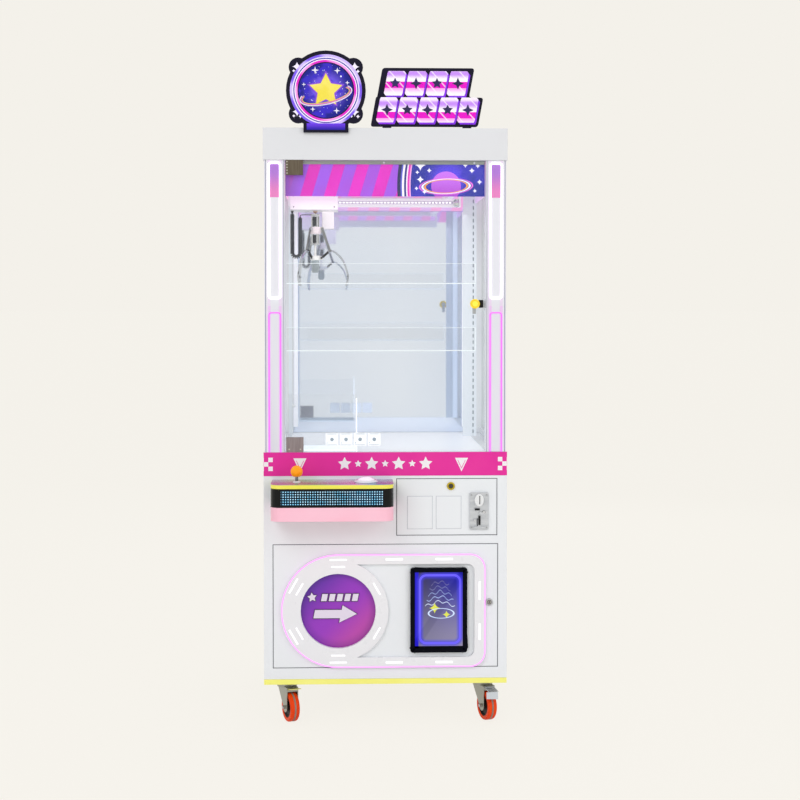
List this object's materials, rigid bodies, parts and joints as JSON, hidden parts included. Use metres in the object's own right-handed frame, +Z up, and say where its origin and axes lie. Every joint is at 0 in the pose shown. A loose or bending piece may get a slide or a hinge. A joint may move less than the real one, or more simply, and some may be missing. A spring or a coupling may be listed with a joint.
{
  "type": "claw crane machine",
  "caption": "Upright claw crane prize machine: glass play chamber over a sheet cabinet on casters, with a gantry claw, prize chute and flap, joystick console and coin door.",
  "frame": {"origin": "bottom centre of the machine's bounding box, on the floor under the wheels", "axes": "+Z up; +X to the player's right, across the machine; +Y towards the back, away from the player"},
  "size_m": [0.82, 1, 2.262],
  "materials": {
    "base_board": "painted yellow edge",
    "lower_cabinet": "satin white",
    "fascia_band": "satin magenta",
    "prize_deck": "white laminate",
    "prize_chute": "satin grey",
    "chute_guard": "clear acrylic",
    "control_box": "zinc plated",
    "left_side_frame": "white",
    "right_side_frame": "white",
    "left_side_glass": "clear",
    "right_side_glass": "clear",
    "back_panel": "mirror",
    "header": "satin white",
    "banner_surround": "printed stripes",
    "badge_sign": "printed",
    "row_sign": "printed",
    "console_body": "satin pink",
    "matrix_display": "gloss black",
    "console_top": "satin yellow rim",
    "button_bezel": "gloss white",
    "crane_frame": "satin",
    "glass_door": "clear",
    "upper_patch_hinge": "brushed",
    "lower_patch_hinge": "brushed",
    "glass_door_lock": "yellow cap",
    "service_door": "satin white",
    "door_surround": "gloss white",
    "display_screen": "gloss black",
    "service_door_lock": "polished",
    "prize_flap": "gloss violet",
    "coin_door": "satin white",
    "coin_acceptor": "plated",
    "coin_door_lock": "polished",
    "coin_return_button": "polished",
    "joystick_gimbal": "satin",
    "joystick_shaft": "polished",
    "joystick_ball": "gloss orange",
    "drop_button": "clear white",
    "crane_bridge": "satin",
    "crane_carriage": "white",
    "hoist_cord": "dark cord",
    "curly_cord": "dark blue-grey",
    "claw_head": "polished",
    "claw_hub": "polished",
    "claw_prong_1": "polished",
    "claw_link_1": "satin",
    "claw_prong_2": "polished",
    "claw_link_2": "satin",
    "claw_prong_3": "polished",
    "claw_link_3": "satin",
    "caster_fork_front_left": "zinc plated",
    "caster_wheel_front_left": "orange tread",
    "caster_fork_front_right": "zinc plated",
    "caster_wheel_front_right": "orange tread",
    "caster_fork_rear_left": "zinc plated",
    "caster_wheel_rear_left": "orange tread",
    "caster_fork_rear_right": "zinc plated",
    "caster_wheel_rear_right": "orange tread",
    "brake_pedal_front_left": "zinc plated",
    "brake_pedal_front_right": "zinc plated"
  },
  "bodies": {
    "cabinet": {"base_board": "base_board", "lower_cabinet": "lower_cabinet", "fascia_band": "fascia_band", "prize_deck": "prize_deck", "prize_chute": "prize_chute", "chute_guard": "chute_guard", "control_box": "control_box", "left_side_frame": "left_side_frame", "right_side_frame": "right_side_frame", "left_side_glass": "left_side_glass", "right_side_glass": "right_side_glass", "back_panel": "back_panel", "header": "header", "banner_surround": "banner_surround", "badge_sign": "badge_sign", "row_sign": "row_sign", "console_body": "console_body", "matrix_display": "matrix_display", "console_top": "console_top", "button_bezel": "button_bezel", "crane_frame": "crane_frame"},
    "glass_door": {"glass_door": "glass_door", "upper_patch_hinge": "upper_patch_hinge", "lower_patch_hinge": "lower_patch_hinge"},
    "glass_door_lock": {"glass_door_lock": "glass_door_lock"},
    "service_door": {"service_door": "service_door", "door_surround": "door_surround", "display_screen": "display_screen"},
    "service_door_lock": {"service_door_lock": "service_door_lock"},
    "prize_flap": {"prize_flap": "prize_flap"},
    "coin_door": {"coin_door": "coin_door", "coin_acceptor": "coin_acceptor"},
    "coin_door_lock": {"coin_door_lock": "coin_door_lock"},
    "coin_return_button": {"coin_return_button": "coin_return_button"},
    "joystick_gimbal": {"joystick_gimbal": "joystick_gimbal"},
    "joystick": {"joystick_shaft": "joystick_shaft", "joystick_ball": "joystick_ball"},
    "drop_button": {"drop_button": "drop_button"},
    "crane_bridge": {"crane_bridge": "crane_bridge"},
    "crane_carriage": {"crane_carriage": "crane_carriage", "hoist_cord": "hoist_cord", "curly_cord": "curly_cord"},
    "claw_head": {"claw_head": "claw_head"},
    "claw_hub": {"claw_hub": "claw_hub"},
    "claw_prong_1": {"claw_prong_1": "claw_prong_1"},
    "claw_link_1": {"claw_link_1": "claw_link_1"},
    "claw_prong_2": {"claw_prong_2": "claw_prong_2"},
    "claw_link_2": {"claw_link_2": "claw_link_2"},
    "claw_prong_3": {"claw_prong_3": "claw_prong_3"},
    "claw_link_3": {"claw_link_3": "claw_link_3"},
    "caster_fork_front_left": {"caster_fork_front_left": "caster_fork_front_left"},
    "caster_wheel_front_left": {"caster_wheel_front_left": "caster_wheel_front_left"},
    "caster_fork_front_right": {"caster_fork_front_right": "caster_fork_front_right"},
    "caster_wheel_front_right": {"caster_wheel_front_right": "caster_wheel_front_right"},
    "caster_fork_rear_left": {"caster_fork_rear_left": "caster_fork_rear_left"},
    "caster_wheel_rear_left": {"caster_wheel_rear_left": "caster_wheel_rear_left"},
    "caster_fork_rear_right": {"caster_fork_rear_right": "caster_fork_rear_right"},
    "caster_wheel_rear_right": {"caster_wheel_rear_right": "caster_wheel_rear_right"},
    "brake_pedal_front_left": {"brake_pedal_front_left": "brake_pedal_front_left"},
    "brake_pedal_front_right": {"brake_pedal_front_right": "brake_pedal_front_right"}
  },
  "joints": [
    {"name": "glass_door_swing", "type": "hinge", "parent": "cabinet", "child": "glass_door", "pos_m": [-0.322, -0.34, 0.9225], "axis": [0, 0, 1], "range_deg": [-105, 0]},
    {"name": "glass_door_lock_turn", "type": "hinge", "parent": "glass_door", "child": "glass_door_lock", "pos_m": [0.3, -0.344, 1.419], "axis": [0, -1, 0], "range_deg": [0, 90]},
    {"name": "service_door_swing", "type": "hinge", "parent": "cabinet", "child": "service_door", "pos_m": [-0.378, -0.35, 0.193], "axis": [0, 0, 1], "range_deg": [-110, 0]},
    {"name": "service_lock_turn", "type": "hinge", "parent": "service_door", "child": "service_door_lock", "pos_m": [0.35, -0.35, 0.411], "axis": [0, -1, 0], "range_deg": [0, 90]},
    {"name": "prize_flap_swing", "type": "hinge", "parent": "service_door", "child": "prize_flap", "pos_m": [-0.16, -0.3435, 0.516], "axis": [1, 0, 0], "range_deg": [0, 65]},
    {"name": "coin_door_drop", "type": "hinge", "parent": "cabinet", "child": "coin_door", "pos_m": [0.038, -0.35, 0.64], "axis": [1, 0, 0], "range_deg": [0, 90]},
    {"name": "coin_lock_turn", "type": "hinge", "parent": "coin_door", "child": "coin_door_lock", "pos_m": [0.22, -0.35, 0.805], "axis": [0, 1, 0], "range_deg": [0, 90]},
    {"name": "coin_return_press", "type": "slide", "parent": "coin_door", "child": "coin_return_button", "axis": [0, 1, 0], "range_m": [0, 0.003], "stiffness_N_per_m": 300},
    {"name": "joystick_front_back", "type": "hinge", "parent": "cabinet", "child": "joystick_gimbal", "pos_m": [-0.2965, -0.43, 0.7976], "axis": [1, 0, 0], "range_deg": [-12, 12], "stiffness_Nm_per_rad": 1.5},
    {"name": "joystick_left_right", "type": "hinge", "parent": "joystick_gimbal", "child": "joystick", "pos_m": [-0.2965, -0.43, 0.7976], "axis": [0, 1, 0], "range_deg": [-12, 12], "stiffness_Nm_per_rad": 1.5},
    {"name": "drop_button_press", "type": "slide", "parent": "cabinet", "child": "drop_button", "axis": [0, 0, -1], "range_m": [0, 0.004], "stiffness_N_per_m": 300},
    {"name": "bridge_travel", "type": "slide", "parent": "cabinet", "child": "crane_bridge", "axis": [0, 1, 0], "range_m": [0, 0.48]},
    {"name": "carriage_travel", "type": "slide", "parent": "crane_bridge", "child": "crane_carriage", "axis": [1, 0, 0], "range_m": [0, 0.36]},
    {"name": "hoist_lower", "type": "slide", "parent": "crane_carriage", "child": "claw_head", "axis": [0, 0, -1], "range_m": [0, 0.48], "deforming": ["hoist_cord", "curly_cord"]},
    {"name": "claw_close", "type": "slide", "parent": "claw_head", "child": "claw_hub", "axis": [0, 0, 1], "range_m": [0, 0.026], "stiffness_N_per_m": 150},
    {"name": "prong_1_turn", "type": "hinge", "parent": "claw_hub", "child": "claw_prong_1", "pos_m": [-0.2165, -0.2, 1.577], "axis": [0, 1, 0], "range_deg": [0, 38]},
    {"name": "link_1_turn", "type": "hinge", "parent": "claw_head", "child": "claw_link_1", "pos_m": [-0.214, -0.2, 1.677], "axis": [0, -1, 0], "range_deg": [0, 7]},
    {"name": "prong_2_turn", "type": "hinge", "parent": "claw_hub", "child": "claw_prong_2", "pos_m": [-0.24875, -0.18138, 1.577], "axis": [-0.866, -0.5, 0], "range_deg": [0, 38]},
    {"name": "link_2_turn", "type": "hinge", "parent": "claw_head", "child": "claw_link_2", "pos_m": [-0.25, -0.17922, 1.677], "axis": [0.866, 0.5, 0], "range_deg": [0, 7]},
    {"name": "prong_3_turn", "type": "hinge", "parent": "claw_hub", "child": "claw_prong_3", "pos_m": [-0.24875, -0.21862, 1.577], "axis": [0.866, -0.5, 0], "range_deg": [0, 38]},
    {"name": "link_3_turn", "type": "hinge", "parent": "claw_head", "child": "claw_link_3", "pos_m": [-0.25, -0.22079, 1.677], "axis": [-0.866, 0.5, 0], "range_deg": [0, 7]},
    {"name": "swivel_front_left", "type": "hinge", "parent": "cabinet", "child": "caster_fork_front_left", "pos_m": [-0.335, -0.275, 0.1307], "axis": [0, 0, 1], "continuous": true},
    {"name": "wheel_front_left_roll", "type": "hinge", "parent": "caster_fork_front_left", "child": "caster_wheel_front_left", "pos_m": [-0.32189, -0.30745, 0.05], "axis": [0.9272, 0.3746, 0], "continuous": true},
    {"name": "brake_front_left_press", "type": "hinge", "parent": "caster_fork_front_left", "child": "brake_pedal_front_left", "pos_m": [-0.31391, -0.3272, 0.1142], "axis": [0.9272, 0.3746, 0], "range_deg": [0, 26]},
    {"name": "swivel_front_right", "type": "hinge", "parent": "cabinet", "child": "caster_fork_front_right", "pos_m": [0.335, -0.275, 0.1307], "axis": [0, 0, 1], "continuous": true},
    {"name": "wheel_front_right_roll", "type": "hinge", "parent": "caster_fork_front_right", "child": "caster_wheel_front_right", "pos_m": [0.34697, -0.30789, 0.05], "axis": [0.9397, 0.342, 0], "continuous": true},
    {"name": "brake_front_right_press", "type": "hinge", "parent": "caster_fork_front_right", "child": "brake_pedal_front_right", "pos_m": [0.35426, -0.32791, 0.1142], "axis": [0.9397, 0.342, 0], "range_deg": [-26, 0]},
    {"name": "swivel_rear_left", "type": "hinge", "parent": "cabinet", "child": "caster_fork_rear_left", "pos_m": [-0.335, 0.425, 0.1307], "axis": [0, 0, 1], "continuous": true},
    {"name": "wheel_rear_left_roll", "type": "hinge", "parent": "caster_fork_rear_left", "child": "caster_wheel_rear_left", "pos_m": [-0.32653, 0.39104, 0.05], "axis": [0.9703, 0.2419, 0], "continuous": true},
    {"name": "swivel_rear_right", "type": "hinge", "parent": "cabinet", "child": "caster_fork_rear_right", "pos_m": [0.335, 0.425, 0.1307], "axis": [0, 0, 1], "continuous": true},
    {"name": "wheel_rear_right_roll", "type": "hinge", "parent": "caster_fork_rear_right", "child": "caster_wheel_rear_right", "pos_m": [0.32772, 0.39076, 0.05], "axis": [0.9781, -0.2079, 0], "continuous": true}
  ],
  "couplings": [
    {"joint": "prong_1_turn", "follows": "claw_close", "rad_per_m": 25.2},
    {"joint": "link_1_turn", "follows": "claw_close", "rad_per_m": 4.5},
    {"joint": "prong_2_turn", "follows": "claw_close", "rad_per_m": 25.2},
    {"joint": "link_2_turn", "follows": "claw_close", "rad_per_m": 4.5},
    {"joint": "prong_3_turn", "follows": "claw_close", "rad_per_m": 25.2},
    {"joint": "link_3_turn", "follows": "claw_close", "rad_per_m": 4.5}
  ]
}
